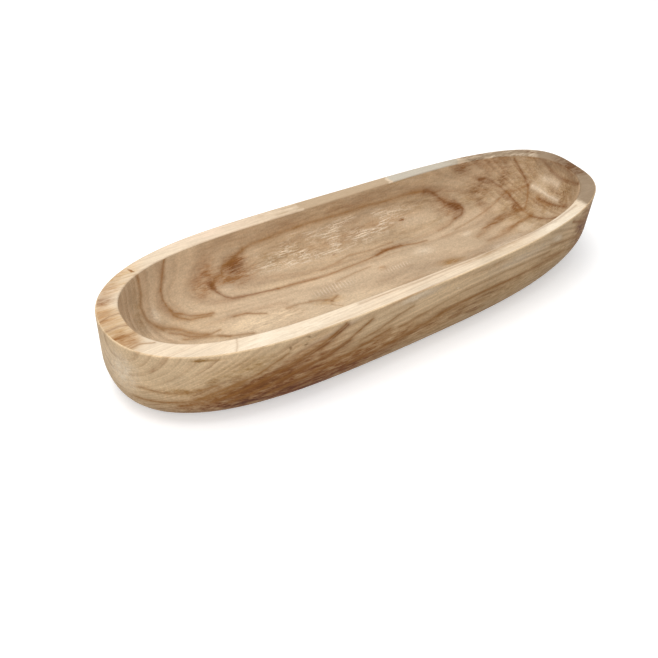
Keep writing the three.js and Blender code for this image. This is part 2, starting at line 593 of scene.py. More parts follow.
HOLLOW_STAINS_AND_SHADE = (
    # Painted shade: a dark stripe along the top of the hollow's back wall, under the back rim
    (SHADE, 20, 66, 260, 10, 0.5),
    # The right end of the hollow darkened: partly darker wood, partly painted shade under the
    # back-right rim
    (SHADE, 212, 22, 60, 64, 0.95),
    (SHADE, 0, 42, 140, 18, 0.35, 0, 0.7),
    (RUST, 20, 58, 110, 8, 0.35),
    (OLIVE, -208, 38, 9, 26, 0.35, -12),
    (HONEY, -165, 30, 65, 44, 0.15),
    (RUST, -172, 20, 30, 7, 0.35, -40),
    (RUST, -176, 43, 12, 9, 0.4, -35),
    (RUST, -143, 55, 20, 12, 0.6),
    (RUST, -135, 60, 16, 10, 0.7),
    (BROWN, -134, 55, 5, 6, 0.9),
    (BROWN, -110, 62, 20, 6, 0.9, 1, 0.9),
    (RUST, -108, 57, 34, 10, 0.9, 3),
    (BROWN, 140, 52, 12, 6, 1, -30, 0.9),
    (RUST, 130, 54, 26, 12, 0.7, -20),
    (RUST, 44, 36, 22, 5, 0.7),
    (BROWN, -9, 49, 4, 1.5, 0.8),
    (BROWN, 75, 57, 6, 1.8, 0.9, 0, 0.9),
    (BROWN, -42, 2, 3.4, 2.8, 0.7),
    (RUST, 25, 17, 8, 4, 0.6),
    (HONEY, 90, -6, 22, 7, 0.9, -8),
    (HONEY, -45, 4, 22, 8, 0.6, -10),
    (RUST, 201, 26, 7, 10, 0.9),
    (BROWN, 222, 14, 3.6, 9, 0.35, 10, 0.8),
    (SHADE, 230, 6, 16, 34, 0.7),
    (SHADE, 236, 20, 10, 14, 0.7),
    (BROWN, 199, 50, 10, 9, 0.5, -30),
    (RUST, 183, 57, 22, 8, 0.7, -20),
    (BROWN, 156, 63, 26, 8, 0.9, -6),
    (SHADE, 236, -6, 14, 32, 0.6),
    (SHADE, 75, 50, 60, 18, 0.4),
    # Painted shade down the back wall of the hollow, under the back rim, in these three
    (SHADE, -62, 60, 60, 10, 0.8),
    (SHADE, 0, 56, 80, 12, 0.4),
    (SHADE, 100, 62, 60, 7, 0.6),
    (SHADE, 112, 48, 34, 12, 0.5),
    (SHADE, 165, 52, 40, 14, 0.8, -6),
    (BROWN, 172, 54, 22, 9, 0.5, -12),
    (SHADE, 195, 24, 16, 10, 0.6),
    (BROWN, 168, 21, 36, 7, 0.7, 12),
    (RUST, 175, 6, 34, 5, 0.6, 10),
)
HOLLOW_COVERS_AND_LIGHT = (
    # Painted light: the front of the hollow's floor lightened where the light falls on it, by this
    # cover and the next
    (CREAM, -115, 6, 85, 20, 0.8, -3),
    (CREAM, -25, -6, 100, 14, 0.45, -1),
    (CREAM, -85, 38, 40, 8, 0.5),
    (CREAM, -168, 28, 44, 34, 0.4),
    (PALE, 192, 0, 13, 9, 0.6, 0, 0.7),
    (PALE, 160, -11, 45, 10, 0.4, 4),
    (PALE, 219, -2, 4, 9, 0.5),
    (PALE, 209, 51, 4, 4, 0.5),
    (PALE, 75, 19, 17, 8, 0.4, -8, 0.9),
    (PALE, 131, 20, 11, 5, 0.3, 10, 0.9),
    (PALE, -193, 42, 6, 10, 0.5),
    (PALE, -119, 52, 12, 5, 0.35),
    (PALE, 229, 24, 6, 12, 0.6, 14),
    (PALE, 232, 18, 4, 7, 0.5),
    (PALE, 95, 52, 40, 9, 0.35, -6),
)
RIM_STAINS = (
    (HONEY, -246, -2, 28, 40, 0.6, 0, 0.5),
    (BROWN, -241, -18, 18, 16, 0.6, 12, 0.7),
    (RUST, -244, 14, 16, 24, 0.5, 0, 0.9),
    (BROWN, -243, 34, 16, 7, 0.6, -4, 0.9),
    (BROWN, -204, 57, 5, 1.8, 0.9, -68, 0.6),
    (RUST, -215, 60, 30, 9, 0.4, 38),
    (GREY, 163, 90, 16, 60, 0.6, 0, 0.6),
    (BROWN, 244, 6, 20, 30, 1),
    (BROWN, 226, 44, 16, 4, 0.6, -40),
    (HONEY, -242, -12, 16, 12, 0.5, 0, 0.8),
    (BROWN, -238, 31, 14, 8, 0.6),
    (RUST, -230, 42, 18, 12, 0.5, 30),
    (HONEY, -216, 56, 34, 22, 0.6, 35),
    (SHADE, 80, -66, 60, 14, 0.45),
)
RIM_COVERS = (
    (PALE, -120, -68, 90, 14, 0.6),
    (PALE, 165, -60, 50, 18, 1, 8, 0.8),
    (PALE, -148, -64, 40, 16, 0.7),
    (BLUSH, -120, 74, 90, 14, 0.6),
    (TAN, -40, 74, 110, 34, 0.55),
    (TAN, 13, 90, 53, 60, 0.9, 0, 0.05),
    (SILVER, 106, 90, 46, 60, 1, 0, 0.08),
    (UMBER, 198, 62, 82, 60, 1, 0, 0.9),
    (UMBER, 261, -30, 61, 92, 1, 0, 0.12),
)
OUTSIDE_STAINS_AND_SHADE = (
    # The outer wall darkened towards the bottom: partly darker wood, partly painted shade where it
    # turns under
    (SHADE, 20, 22, 320, 40, 0.7),
    # Partly browner wood and partly painted contact shadow: these two ovals low on the left of the
    # outer wall
    (RUST, -110, 22, 160, 30, 1, 8),
    (BROWN, -120, 12, 140, 22, 1, 6),
    (RUST, -112, 56, 56, 26, 0.5, 10),
    (RUST, -120, 40, 70, 24, 0.5, 10),
    # Partly browner wood and partly painted contact shadow: these two brown ovals low on the left
    # of the outer wall
    (BROWN, -160, 32, 80, 26, 1, 6),
    (BROWN, -175, 20, 75, 14, 0.8, 4),
    # Painted shade in part: a band that darkens the outer wall at mid height, with the oval at the
    # top of the list
    (SHADE, 40, 38, 240, 18, 0.6),
    (RUST, 40, 28, 90, 14, 0.4, 2),
    (SHADE, 250, 34, 80, 70, 1),
    (RUST, 240, 30, 56, 50, 1),
    (BROWN, 216, 44, 36, 44, 0.8),
    (BROWN, 212, 58, 32, 24, 0.5, -30),
    (BROWN, -158, 39, 50, 12, 0.8, 14),
    (SHADE, 170, 40, 60, 30, 0.5),
    (BROWN, 200, 54, 30, 8, 0.6, -42),
    (OLIVE, -200, 71.5, 12, 2.6, 0.9),
    (OLIVE, -190, 70.5, 14, 2, 0.6),
    (OLIVE, -212, 39, 20, 7, 0.8),
    (OLIVE, -193, 48, 8, 6, 0.5, 30),
    (OLIVE, -170, 56, 46, 16, 0.6, 12),
    (GREY, -133, 66, 1.8, 3.6, 1, 25, 0.9),
    (GREY, -120.5, 65, 2.2, 3.2, 1, -15, 0.9),
    (GREY, -118, 72, 2.8, 2, 1, 0, 0.9),
    (BROWN, 57, 25, 13, 5, 0.6),
    (BROWN, 62, 69, 40, 4, 0.6),
)
OUTSIDE_COVERS = (
    (PALE, 158, 61, 13, 5, 0.7, -25),
    (PALE, 30, 61, 2.4, 1.2, 0.5, -20, 0.8),
    (PALE, -247, 47, 12, 30, 0.7),
    (PALE, -95, 68, 40, 5, 0.4, 14),
    (CREAM, 25, 32, 16, 3, 0.5, 2),
    (PALE, 110, 62, 60, 8, 0.35),
    (PALE, -12, 70, 36, 5, 0.6),
)

BAND = "#966d3f"
LINE = "#8c5f2e"
DARK_LINE = "#7a4c20"

# Lines that stand out. Each has its colour, how far its stain reaches in millimetres, how strong
# it is, and its points along and across the tray, or on the outside along and up. On the steep
# walls of the hollow a point has its height too.
HOLLOW_LINES = (
    (BAND, 3, 0.8, (
        (-201, 52), (-200, 50), (-202.5, 47), (-203.5, 44), (-202, 39), (-199, 36), (-192, 30)
    )),
    (LINE, 2.6, 0.9, (
        (-173, 60, 73), (-178, 58), (-181, 55), (-181.5, 51), (-180.5, 49), (-178, 45), (-176, 43),
        (-170, 41), (-164, 38), (-157, 36), (-144, 34)
    )),
    (BAND, 3.4, 0.9, (
        (-178, 44), (-177, 41), (-172, 38), (-166, 34.5), (-156, 33.5), (-147, 32)
    )),
    (BAND, 5, 0.8, (
        (-196, 34), (-190, 31.5), (-184, 30), (-179, 27.5), (-176, 25), (-171, 20.5), (-166, 16.5),
        (-160, 13.5)
    )),
    (LINE, 2.4, 0.7, ((-188, 26), (-180, 23), (-174, 17), (-166, 13), (-158, 12), (-148, 13))),
    (BAND, 3.4, 0.7, ((-180, 16), (-172, 13), (-160, 10), (-150, 6), (-145, 2))),
    (LINE, 3, 0.7, ((-152, 6), (-145, 2), (-135, -1), (-125, -4))),
    (LINE, 2.6, 0.8, ((-130, 22), (-119, 21), (-112, 17), (-103, 13))),
    (LINE, 2.4, 0.6, ((-84, 11), (-70, 11), (-60, 9))),
    (LINE, 3, 0.9, (
        (-134, 55), (-131, 57), (-129, 58.5), (-126, 61, 38), (-123, 62, 42), (-118, 62.5, 45),
        (-108, 63.5, 48), (-98, 64.5, 53)
    )),
    (BAND, 2.6, 0.9, (
        (-98, 64.5, 53), (-90, 65, 55.5), (-70, 66, 56.5), (-41, 66.5, 58), (0, 66.5, 57),
        (35, 66.5, 57), (60, 66, 55), (90, 65, 55), (105, 64, 53)
    )),
    (DARK_LINE, 2.6, 0.85, (
        (-134, 55), (-132, 51), (-129, 48), (-126, 45), (-121, 42), (-115, 41), (-101, 39),
        (-93, 38), (-78, 36)
    )),
    (LINE, 2.4, 0.75, (
        (-78, 36), (-65, 35), (-50, 33), (-30, 31), (-5, 32), (20, 32.5), (38, 35.5), (62, 34.5),
        (76, 31), (88, 30)
    )),
    (DARK_LINE, 2.6, 0.75, ((30, 34), (45, 36.5), (60, 35.5))),
    (LINE, 2, 0.5, ((-30, 39), (-8, 42), (5, 44), (25, 42), (55, 42))),
    (DARK_LINE, 3.4, 0.9, (
        (105, 64, 53), (112, 63, 51), (118, 62, 47), (124, 60, 42), (131, 58, 37), (140, 54),
        (145, 51.5), (148, 48), (143, 44), (134, 43)
    )),
    (LINE, 2.6, 0.55, ((134, 43), (124, 39), (108, 37))),
    (LINE, 2, 0.5, ((-25, 20), (-5, 22), (15, 23))),
    (LINE, 2.2, 0.6, ((-60, 10), (-45, 5), (-42, 2), (-33, 6))),
    (LINE, 2, 0.5, ((-45, -2), (-38, -9))),
    (DARK_LINE, 2, 0.9, (
        (172, 57, 51), (180, 55.5, 51), (185, 53, 48.5), (190, 50.5, 45), (196, 46.5, 41),
        (201, 42, 37), (203.5, 38, 34)
    )),
    (DARK_LINE, 3, 0.9, ((203.5, 38, 34), (205, 33.5, 31), (205, 26), (205, 20))),
    (BAND, 3, 0.7, ((205, 19), (206, 14), (207, 9))),
    (DARK_LINE, 2.6, 0.9, ((206, 9), (208, 5), (211, -2), (215, -10), (217, -14))),
    (LINE, 1.8, 0.65, (
        (125, 31), (140, 33), (152, 35), (165, 37), (178, 39), (190, 41), (200, 42)
    )),
    (LINE, 2, 0.7, (
        (201, 42, 37), (208, 38.5, 37.5), (213, 37, 40), (218, 35, 42), (221.5, 33, 43.5)
    )),
    (LINE, 2.4, 0.8, ((221.5, 33, 43.5), (219, 29.5, 38), (214.5, 25.5, 33), (206, 19.5, 27))),
    (DARK_LINE, 1.8, 0.9, (
        (205, 52, 74), (208, 48, 70), (213, 44.5, 61.5), (216, 42, 56.5), (219.5, 38.5, 50.5),
        (221, 35, 45.5), (221.5, 33, 43.5)
    )),
    (DARK_LINE, 1.8, 1, (
        (229.5, 33.5, 73), (233, 28, 69.5), (235, 21, 63.5), (236, 14, 60.5), (236.5, 8, 60),
        (237, 0, 62.5), (236, -10, 66), (234, -19, 71)
    )),
    (DARK_LINE, 2.4, 1, ((236, 24, 73), (238, 14, 73), (239, 4, 72), (239, -4, 70))),
    (LINE, 2, 0.8, ((198, 56, 73), (206, 52, 73))),
    (LINE, 2, 0.8, ((220, 41, 73), (229, 34, 73))),
    (BAND, 4.5, 0.75, ((221.5, 19, 35), (223.5, 12, 34), (225, 5, 34.5))),
    (DARK_LINE, 2, 0.9, (
        (223, 17, 35.5), (225, 10, 35.5), (226, 4, 36), (226.5, -3, 38), (227, -10, 41),
        (226.5, -16, 44.5)
    )),
    (UMBER, 6, 0.7, (
        (230, 33, 71), (236, 22, 70), (238, 10, 69), (238, 0, 69), (237, -10, 70)
    )),
    (PALE, 3, 0.75, (
        (224, 30, 44), (226, 24, 42.5), (228.5, 17, 41), (229.5, 8, 40.5), (229.5, 0, 41.5)
    )),
    (PALE, 5, 0.6, ((232.5, 24, 53), (235, 16, 54), (236, 9, 53))),
    (LINE, 6, 0.6, ((138, 11), (150, 14), (160, 19), (172, 24), (190, 23), (203, 22))),
    (LINE, 5, 0.55, ((143, 1), (160, 1), (172, 2), (181, 7), (195, 9), (207, 8))),
)
RIM_LINES = (
    (LINE, 2, 0.5, ((-65, -67), (0, -67.5), (60, -66.5), (120, -63), (165, -57), (195, -49))),
    (DARK_LINE, 1.6, 0.7, ((-248, 10), (-240, 13), (-232, 13))),
    (DARK_LINE, 1.6, 0.7, ((-248, -2), (-238, -1), (-230, -3))),
    (LINE, 1.6, 0.7, ((-243, -28), (-232, -26), (-222, -30))),
    (LINE, 1.4, 0.6, ((-246, -12), (-236, -14), (-226, -12))),
    (LINE, 1.4, 0.4, ((-176, -70), (-172, -64), (-168, -56))),
    (DARK_LINE, 3, 0.8, ((152, 71), (160, 69), (168, 69), (175, 66))),
)
OUTSIDE_LINES = (
    (LINE, 4, 0.9, (
        (-80, 26), (-45, 29), (-20, 32), (0, 36), (20, 40), (60, 43), (120, 41), (170, 39)
    )),
    (LINE, 2, 0.7, ((-75, 25), (-45, 28), (-20, 31), (0, 35), (20, 39), (60, 42))),
    (BAND, 3, 1, ((-205, 30), (-180, 41), (-160, 47), (-148, 54), (-135, 61))),
    (BAND, 3.6, 1, ((-240, 24), (-215, 27), (-190, 33), (-172, 41))),
    (BAND, 3, 0.8, ((-238, 38), (-225, 37), (-205, 39), (-190, 44))),
    (LINE, 4.4, 1, (
        (-215, 22), (-190, 27), (-170, 34), (-150, 42), (-130, 49), (-118, 54), (-100, 62),
        (-85, 72)
    )),
    (DARK_LINE, 2.6, 0.95, (
        (-172, 31), (-150, 39), (-130, 47), (-118, 51), (-100, 59), (-83, 70)
    )),
    (LINE, 3.8, 1, ((-180, 22), (-145, 34), (-120, 41), (-100, 46), (-80, 54), (-60, 66))),
    (DARK_LINE, 2.4, 0.9, ((-145, 32), (-120, 39), (-100, 44), (-80, 52))),
    (LINE, 4, 0.9, ((-150, 22), (-120, 30), (-90, 36), (-65, 41), (-40, 47))),
    (BAND, 3, 0.8, ((-70, 47), (-50, 52), (-35, 58), (-18, 62))),
    (BAND, 3, 0.7, ((-30, 44), (0, 49), (40, 54), (90, 55), (150, 50))),
    (BAND, 3.4, 0.9, ((180, 70), (200, 60), (220, 50), (230, 44))),
    (DARK_LINE, 1.8, 0.7, ((180, 69), (200, 59), (220, 49), (230, 43))),
    (BAND, 3.4, 0.8, ((150, 57), (165, 53), (185, 48), (205, 40))),
    (BAND, 3.4, 0.8, ((140, 46), (175, 38), (188, 34), (202, 28))),
    (LINE, 2.6, 0.7, ((198, 70), (212, 66), (222, 60), (230, 54))),
)


# Centring the tray's box sets the whole tray forward by about this share of the bow
MEAN_BOW = 0.1

# Places on the hollow are found by halving a range this many times, and one on its steep wall
# is looked for between these shares of its distance from the middle
HALVINGS = 24
WALL_REACH = (0.85, 1.15)

# Marks are blended in one after the other. This share of the colour so far is added to the
# place, which is far too little to see but makes each mark wait for the one before, because
# the renderer can't hold the unfinished masks of so many marks at once.
WAIT = 1e-5

# Marks on the hollow and the rim are measured with the height flattened to this share, so that
# those on the steep walls are as tall as they look from above, and an oval is this many times
# as tall as it is wide
FLATTENED = 0.5
OVAL_HEIGHT = 1.5

# A line's stain fades away over this many times its reach, first fast and then slowly
HALO = 2.4
HALO_FALL = 4


def hollow_height(x, y):
    """Height in millimetres of the hollow's surface at a place along and across the tray."""
    shape = bpy.context.scene.tray_shape
    reach = x / (shape.length / MM / 2)
    x -= (shape.rim_left - shape.rim_right) / MM / 2
    y -= (shape.rim_front - shape.rim_back) / MM / 2 + BOW / MM * (reach * reach - MEAN_BOW)
    half_length = (shape.length - shape.rim_left - shape.rim_right) / MM / 2
    half_width = (shape.width - shape.rim_front - shape.rim_back) / MM / 2
    along, across = HOLLOW_LEFT if x < 0 else HOLLOW_RIGHT

    def outside_of(drawn, scale):
        """Whether the place is outside the outline drawn in by a share of the cove."""
        a = scale * (half_length - shape.end_cove / MM * drawn)
        b = scale * (half_width - shape.side_cove / MM * drawn)
        return (abs(x) / a) ** along + (abs(y) / b) ** across > 1

    top = (shape.height - INNER_EASE) / MM
    bottom = (shape.height - shape.depth + shape.floor_dip) / MM
    low, high = 0.0, 1.0
    in_cove = outside_of(1, 1)
    for _ in range(HALVINGS):
        middle = (low + high) / 2
        inner = outside_of(middle, 1) if in_cove else not outside_of(1, middle)
        low, high = (low, middle) if inner else (middle, high)
    if in_cove:
        turn = math.acos((1 - high) ** (COVE_FULLNESS / 2))
        return top - (top - bottom) * math.sin(turn) ** (2 / COVE_FULLNESS)
    return bottom - shape.floor_dip / MM * (1 - high * high) ** 2


def on_wall(x, y, z):
    """Place on the hollow's steep wall at this height, moved straight out or in to meet it."""
    near, far = WALL_REACH
    for _ in range(HALVINGS):
        middle = (near + far) / 2
        if hollow_height(x * middle, y * middle) < z:
            near = middle
        else:
            far = middle
    return x * far, y * far, z * FLATTENED


def along_curve(tree, along, terms):
    """Value of a curve a + b X + c X X at X hundred millimetres along the tray."""
    value = terms[-1]
    for term in reversed(terms[:-1]):
        value = add(tree, MATH, "MULTIPLY_ADD", along, value, term)
    return value


def heart_distance(tree, mm):
    """Distance from the heart of the log in millimetres, counted on its uneven rings and with
    the slow waver of real ones."""
    parts = add(tree, SEPARATE, mm).outputs
    along = add(tree, MATH, "MULTIPLY", parts["X"], 0.01)
    heart_y = along_curve(tree, along, HEART_Y)
    heart_z = along_curve(tree, along, HEART_Z)
    across = add(tree, MATH, "SUBTRACT", parts["Y"], heart_y)
    up = add(tree, MATH, "SUBTRACT", parts["Z"], heart_z)
    across_2 = add(tree, MATH, "MULTIPLY", across, across)
    up_2 = add(tree, MATH, "MULTIPLY", up, up)
    square = add(tree, MATH, "ADD", across_2, up_2)
    round_distance = add(tree, MATH, "SQRT", square)

    off = along_curve(tree, along, OFF_CENTRE)
    distance = add(tree, MATH, "MULTIPLY_ADD", off, across, round_distance)
    drawn = add(tree, MATH, "SUBTRACT", across_2, up_2)
    drawn = add(tree, MATH, "MULTIPLY", drawn, along_curve(tree, along, DRAWN_OUT))
    leaned = add(tree, MATH, "MULTIPLY", across, up)
    uneven = add(tree, MATH, "MULTIPLY_ADD", leaned, LEANING, drawn)
    uneven = add(tree, MATH, "DIVIDE", uneven, round_distance)
    distance = add(tree, MATH, "ADD", distance, uneven)

    for length, width, sway in ((90, 30, 1.6), (14, 5, 0.55)):
        waver = add(tree, MAPPING, mm, Scale=(width / length, 1, 1))
        waver = add(tree, NOISE, waver, Scale=1 / width, Detail=2, Roughness=0.5)
        waver = add(tree, MAP_RANGE, waver, 0, 1, -sway, sway)
        distance = add(tree, MATH, "ADD", distance, waver)
    return distance


def late_wood(tree, distance):
    """How dark the late wood is, from 0 to 1: it comes up slowly and stops at a sharp line."""
    share = add(tree, MATH, "DIVIDE", distance, RAMP_REACH)
    darkest = None
    for first in range(0, len(YEARS), YEARS_TO_A_RAMP):
        ramp = add(tree, "ShaderNodeValToRGB", share)
        stops = ramp.color_ramp.elements
        stops[0].position = 0
        stops[0].color = (0, 0, 0, 1)
        stops[1].position = 1
        stops[1].color = (0, 0, 0, 1)
        last_end = 0
        for line, rise, dark in YEARS[first : first + YEARS_TO_A_RAMP]:
            begins = max(line - rise, last_end + 0.05)
            for place, level in ((begins, 0), (line, dark), (line + LINE_FADE, 0)):
                stop = stops.new(place / RAMP_REACH)
                stop.color = (level, level, level, 1)
            last_end = line + LINE_FADE
        if darkest is None:
            darkest = ramp
        else:
            darkest = add(tree, MATH, "MAXIMUM", darkest, ramp)
    return darkest


def segment_group():
    """Distance to one straight piece of a line, or to the pieces before it if that is less."""
    inputs = [
        ("Place", VECTOR, None),
        ("Start", VECTOR, None),
        ("Span", VECTOR, None),
        ("Nearest", FLOAT, 0),
    ]
    tree, given, result = new_group("Line Piece", "ShaderNodeTree", inputs, [("Nearest", FLOAT)])
    away = add(tree, VECTOR_MATH, "SUBTRACT", given["Place"], given["Start"])
    passed = add(tree, VECTOR_MATH, "DOT_PRODUCT", away, given["Span"])
    square = add(tree, VECTOR_MATH, "DOT_PRODUCT", given["Span"], given["Span"])
    share = add(tree, MATH, "DIVIDE", passed.outputs["Value"], square.outputs["Value"],
                use_clamp=True)
    foot = add(tree, VECTOR_MATH, "SCALE", given["Span"], Scale=share)
    distance = add(tree, VECTOR_MATH, "DISTANCE", away, foot).outputs["Value"]
    nearest = add(tree, MATH, "MINIMUM", distance, given["Nearest"])
    tree.links.new(nearest.outputs[0], result.inputs[0])
    return tree


def mark_group(name, blend):
    """Oval mark that is blended into the colour of the wood on one side of the tray."""
    inputs = [
        ("Colour", "NodeSocketColor", None),
        ("Mark", "NodeSocketColor", None),
        ("Place", VECTOR, None),
        ("Middle", VECTOR, None),
        ("Half Size", VECTOR, None),
        ("Turn", VECTOR, None),
        ("Edge", FLOAT, 0.5),
        ("Strength", FLOAT, 1),
        ("Grain", FLOAT, 1),
        ("Side", FLOAT, 1),
    ]
    tree, given, result = new_group(name, "ShaderNodeTree", inputs,
                                    [("Colour", "NodeSocketColor")])
    after = add(tree, VECTOR_MATH, "MULTIPLY_ADD", given["Colour"], (WAIT,) * 3, given["Place"])
    local = add(tree, MAPPING, after, given["Middle"], given["Turn"],
                given["Half Size"], vector_type="TEXTURE")
    away = add(tree, VECTOR_MATH, "LENGTH", local).outputs["Value"]
    soft_from = add(tree, MATH, "SUBTRACT", 1, given["Edge"])
    mask = add(tree, MAP_RANGE, away, soft_from, 1, 1, 0, interpolation_type="SMOOTHSTEP")
    grain = add(tree, MIX, given["Edge"], 1, given["Grain"])
    mask = add(tree, MATH, "MULTIPLY", mask, grain)
    mask = add(tree, MATH, "MULTIPLY", mask, given["Strength"], use_clamp=True)
    mask = add(tree, MATH, "MULTIPLY", mask, given["Side"])
    mixed = add(tree, MIX, mask, given["Colour"], given["Mark"], data_type="RGBA",
                blend_type=blend)
    tree.links.new(mixed.outputs["Result"], result.inputs[0])
    return tree


# How strongly the growth lines show on each side
SHOWN_OUTSIDE = 0.85
SHOWN_HOLLOW = 0.7
SHOWN_RIM = 0.35

# How far the edges of ovals and of lines wander along, across and up, in millimetres
RAGGED = (7, 3, 3)
WAVY = (1.6, 1.2, 1.2)
WANDER_WIDTH = 5

# Marks on the outside fade out over this far to each side of the tray's middle
FRONT_FADE = 20

# Torn fibres fill an oval in the back of the hollow
TORN_MIDDLE = (-5, 59, 19)
TORN_HALF_SIZE = (118, 17, 11)

GRIT_WIDTH = 1.8
FUZZ = 0.25 * MM


def carved_wood():
    """Bare paulownia, carved, lightly sanded and left dull: pale soft fibres along the log with
    short open pores between them, brown growth lines, and a fuzz that scatters the light."""
    wood = bpy.context.scene.tray_wood
    material = bpy.data.materials.new("carved_paulownia")
    tree = emptied(material)
    place = add(tree, "ShaderNodeTexCoord").outputs["Object"]
    mm = add(tree, MAPPING, place, Scale=(1 / MM,) * 3)
    across = add(tree, SEPARATE, mm).outputs["Y"]
    side = add(tree, "ShaderNodeAttribute", attribute_name=SIDE_ATTRIBUTE).outputs["Fac"]
    in_hollow = add(tree, MATH, "GREATER_THAN", side, (RIM + HOLLOW) / 2)
    on_rim = add(tree, MATH, "COMPARE", side, RIM, 0.1)
    outside = add(tree, MATH, "LESS_THAN", side, (OUTSIDE + RIM) / 2)
    in_front = add(tree, MAP_RANGE, across, FRONT_FADE, -FRONT_FADE, 0, 1)
    in_front = add(tree, MATH, "MULTIPLY", in_front, outside)

    def streaks(length, width, detail, seed):
        """Noise drawn out along the log."""
        drawn = add(tree, MAPPING, mm, Scale=(width / length, 1, 1), Location=(seed, seed, seed))
        return add(tree, NOISE, drawn, Scale=1 / width, Detail=detail, Roughness=0.6).outputs[0]

    def tinted(colour, share, low, high):
        """Colour made lighter or darker by a share from 0.3 to 0.7."""
        level = add(tree, MAP_RANGE, share, 0.3, 0.7, low, high)
        return add(tree, MIX, 1, colour, level, data_type="RGBA", blend_type="MULTIPLY")

    # Plain wood on each side, with broad clouds, fine secondary rings and the brown lines
    colour = add(tree, MIX, in_hollow, tuple(wood.outside), tuple(wood.hollow), data_type="RGBA")
    colour = add(tree, MIX, on_rim, colour, tuple(wood.rim), data_type="RGBA")
    colour = tinted(colour, streaks(length=60, width=22, detail=3, seed=7), 0.87, 1.1)
    distance = heart_distance(tree, mm)
    fine_rings = add(tree, MATH, "MULTIPLY", distance, 0.9)
    fine_rings = add(tree, NOISE, noise_dimensions="1D", W=fine_rings, Scale=1, Detail=2)
    colour = tinted(colour, fine_rings, 0.92, 1.06)
    patchy = streaks(length=80, width=16, detail=3, seed=31)
    patchy = add(tree, MAP_RANGE, patchy, 0.35, 0.65, 0.1, 1.1)
    late = add(tree, MATH, "MULTIPLY", late_wood(tree, distance), patchy)
    shown = add(tree, MAP_RANGE, in_hollow, 0, 1, SHOWN_OUTSIDE, SHOWN_HOLLOW)
    shown = add(tree, MIX, on_rim, shown, SHOWN_RIM)
    late = add(tree, MATH, "MULTIPLY", late, shown)
    colour = add(tree, MIX, late, colour, tuple(wood.late_wood), data_type="RGBA")

    # Marks of the tree and of use, and some painted shade and light, with ragged edges that
    # follow the fibres
    noise = add(tree, NOISE, mm, Scale=1 / WANDER_WIDTH, Detail=3, Roughness=0.6)
    noise = add(tree, VECTOR_MATH, "SUBTRACT", noise.outputs["Color"], (0.5, 0.5, 0.5))
    uneven = streaks(length=18, width=4, detail=4, seed=50)
    swelling = add(tree, MAP_RANGE, uneven, 0.32, 0.68, 0.35, 1.5)
    fibres = streaks(length=7, width=1.1, detail=3, seed=61)
    fibres = add(tree, MAP_RANGE, fibres, 0.35, 0.65, 0.6, 1.4)
    swelling = add(tree, MATH, "MULTIPLY", swelling, fibres)
    thinning = add(tree, MAP_RANGE, uneven, 0.32, 0.68, 0.75, 1.2)

    def seen_places(wander):
        """Place with its height flattened, for the hollow and the rim, and place seen straight
        from the front, for the outside."""
        bent = add(tree, VECTOR_MATH, "MULTIPLY_ADD", noise, wander, mm)
        x, y, z = add(tree, SEPARATE, bent).outputs
        lower = add(tree, MATH, "MULTIPLY", z, FLATTENED)
        return (add(tree, COMBINE, x, y, lower), add(tree, COMBINE, x, z, 0))

    def lifted(place, on_side):
        """Place of a mark or a line with the flattened height of the surface there."""
        if len(place) == 3:
            return on_wall(*place)
        if on_side is in_hollow:
            return (*place, hollow_height(*place) * FLATTENED)
        top = bpy.context.scene.tray_shape.height / MM * FLATTENED
        return (*place, top if on_side is on_rim else 0)

    def oval(kind, where, on_side, name, along, across, half_length, half_width, strength,
             turn=0, edge=1):
        """The wood's colour with one more oval mark."""
        return add(tree, GROUP, node_tree=kind, Colour=colour, Mark=linear(name),
                   Place=where, Middle=lifted((along, across), on_side),
                   Half_Size=(half_length, half_width, half_width * OVAL_HEIGHT),
                   Turn=(0, 0, math.radians(turn)), Edge=edge, Strength=strength,
                   Grain=swelling, Side=on_side)

    def line(where, on_side, name, reach, strength, points):
        """The wood's colour with one more line."""
        after = add(tree, VECTOR_MATH, "MULTIPLY_ADD", colour, (WAIT,) * 3, where)
        nearest = reach * HALO
        points = [Vector(lifted(point, on_side)) for point in points]
        for start, end in zip(points, points[1:]):
            nearest = add(tree, GROUP, node_tree=piece, Place=after, Start=start,
                          Span=end - start, Nearest=nearest)
        closeness = add(tree, MAP_RANGE, nearest, 0, reach * HALO, 1, 0)
        closeness = add(tree, MATH, "POWER", closeness, HALO_FALL)
        closeness = add(tree, MATH, "MULTIPLY", closeness, thinning)
        closeness = add(tree, MATH, "MULTIPLY", closeness, strength, use_clamp=True)
        closeness = add(tree, MATH, "MULTIPLY", closeness, on_side)
        return add(tree, MIX, closeness, colour, linear(name), data_type="RGBA")

    ovals_above, ovals_front = seen_places(RAGGED)
    lines_above, lines_front = seen_places(WAVY)
    # Darkening ovals: stains in the wood, and painted shade
    darkening = mark_group("Wood Stain And Shade", "MULTIPLY")
    cover = mark_group("Wood Cover", "MIX")
    for kind, marks, where, on_side in (
        (cover, HOLLOW_COVERS_AND_LIGHT, ovals_above, in_hollow),
        (darkening, HOLLOW_STAINS_AND_SHADE, ovals_above, in_hollow),
        (cover, RIM_COVERS, ovals_above, on_rim),
        (darkening, RIM_STAINS, ovals_above, on_rim),
        (cover, OUTSIDE_COVERS, ovals_front, in_front),
        (darkening, OUTSIDE_STAINS_AND_SHADE, ovals_front, in_front),
    ):
        for mark in marks:
            colour = oval(kind, where, on_side, *mark)
    piece = segment_group()
    for lines, where, on_side in (
        (HOLLOW_LINES, lines_above, in_hollow),
        (RIM_LINES, lines_above, on_rim),
        (OUTSIDE_LINES, lines_front, in_front),
    ):
        for mark in lines:
            colour = line(where, on_side, *mark)

